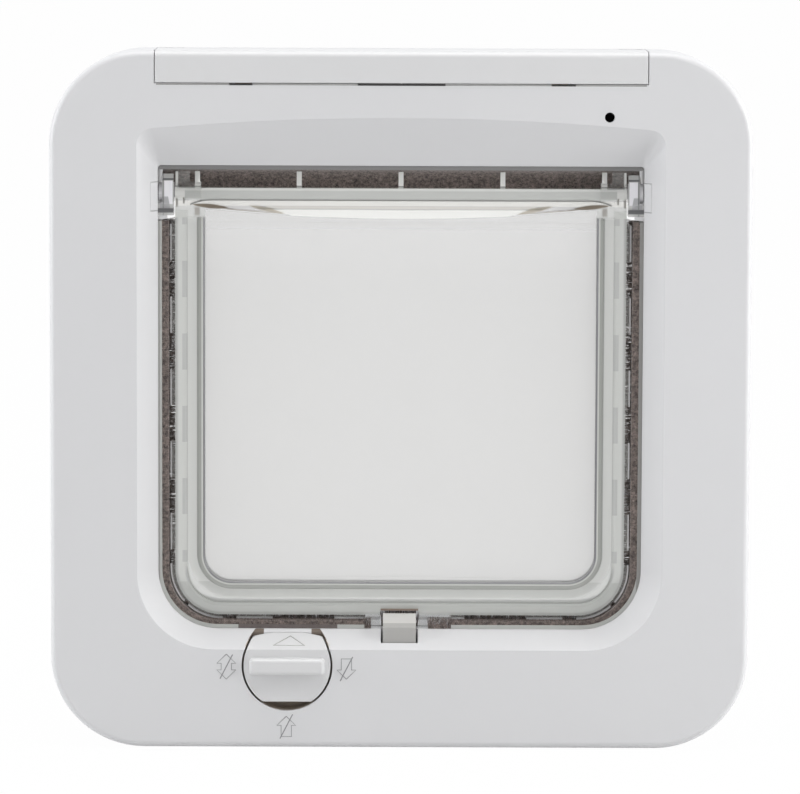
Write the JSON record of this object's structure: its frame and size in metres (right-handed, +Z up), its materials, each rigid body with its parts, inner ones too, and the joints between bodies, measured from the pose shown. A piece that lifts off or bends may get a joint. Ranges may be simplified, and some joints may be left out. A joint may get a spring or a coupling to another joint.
{
  "type": "cat flap",
  "caption": "White moulded cat flap with a clear swinging flap, lock dial, electric catch, battery cover, tunnel and outdoor frame.",
  "frame": {"origin": "middle of the indoor housing, on the plane of its back that lies against the door", "axes": "+X to the right seen from indoors, +Y through the door towards outdoors, +Z up"},
  "size_m": [0.21, 0.073, 0.21],
  "materials": {
    "white_plastic": "fine satin white moulding",
    "cover_plastic": "fine satin white moulding",
    "dial_plastic": "fine satin white moulding",
    "catch_plastic": "warm white moulding",
    "pin_plastic": "smooth white acetal",
    "clear_plastic": "clear polished plastic",
    "brush_pile": "dense grey-brown pile",
    "brush_backing": "pale grey strip",
    "screw_steel": "bright plated steel",
    "solenoid_steel": "pressed plated steel",
    "spring_steel": "drawn spring wire and strip",
    "copper_winding": "enamelled copper wire",
    "cell_wrap": "plain printed sleeve without a mark",
    "board_laminate": "green coated laminate",
    "button_plastic": "grey moulding",
    "lamp_resin": "dark clear resin"
  },
  "bodies": {
    "housing": {"front_housing": "white_plastic", "rear_cover": "white_plastic", "tunnel": "white_plastic", "outdoor_frame": "white_plastic", "screw_caps": "white_plastic", "aerial_coil": "copper_winding", "fixing_screws": "screw_steel", "housing_screws": "screw_steel", "hinge_pin_right": "pin_plastic", "hinge_pin_left": "pin_plastic", "hinge_block_right": "white_plastic", "hinge_block_left": "white_plastic", "top_brush_backing": "brush_backing", "top_brush_pile": "brush_pile", "left_brush_backing": "brush_backing", "left_brush_pile": "brush_pile", "right_brush_backing": "brush_backing", "right_brush_pile": "brush_pile", "solenoid_bracket": "solenoid_steel", "solenoid_coil": "copper_winding", "catch_spring": "spring_steel", "battery_cell_1": "cell_wrap", "battery_cell_2": "cell_wrap", "battery_cell_3": "cell_wrap", "battery_cell_4": "cell_wrap", "battery_contacts": "spring_steel", "circuit_board": "board_laminate", "status_lamp": "lamp_resin"},
    "flap": {"flap": "clear_plastic"},
    "catch": {"catch": "catch_plastic", "plunger": "solenoid_steel"},
    "dial": {"lock_dial": "dial_plastic", "dial_pinion": "pin_plastic", "pinion_screw": "screw_steel"},
    "lock_slide": {"lock_slide": "pin_plastic"},
    "battery_cover": {"battery_cover": "cover_plastic"},
    "memory_button": {"memory_button": "button_plastic"}
  },
  "joints": [
    {"name": "flap_swing", "type": "hinge", "parent": "housing", "child": "flap", "pos_m": [0, -0.011, 0.062], "axis": [1, 0, 0], "range_deg": [-80, 80]},
    {"name": "catch_lift", "type": "slide", "parent": "housing", "child": "catch", "axis": [0, 0, 1], "range_m": [0, 0.004], "stiffness_N_per_m": 50, "deforming": ["catch_spring"]},
    {"name": "dial_turn", "type": "hinge", "parent": "housing", "child": "dial", "pos_m": [-0.0338, -0.015, -0.08], "axis": [0, 1, 0], "range_deg": [-90, 180]},
    {"name": "lock_slide_travel", "type": "slide", "parent": "housing", "child": "lock_slide", "axis": [1, 0, 0], "range_m": [-0.00501, 0.01001]},
    {"name": "battery_cover_open", "type": "hinge", "parent": "housing", "child": "battery_cover", "pos_m": [0, -0.0022, 0.1037], "axis": [-1, 0, 0], "range_deg": [0, 95]},
    {"name": "memory_button_press", "type": "slide", "parent": "housing", "child": "memory_button", "axis": [0, 1, 0], "range_m": [0, 0.001], "stiffness_N_per_m": 400}
  ],
  "couplings": [
    {"joint": "lock_slide_travel", "follows": "dial_turn", "m_per_rad": 0.0031831}
  ]
}
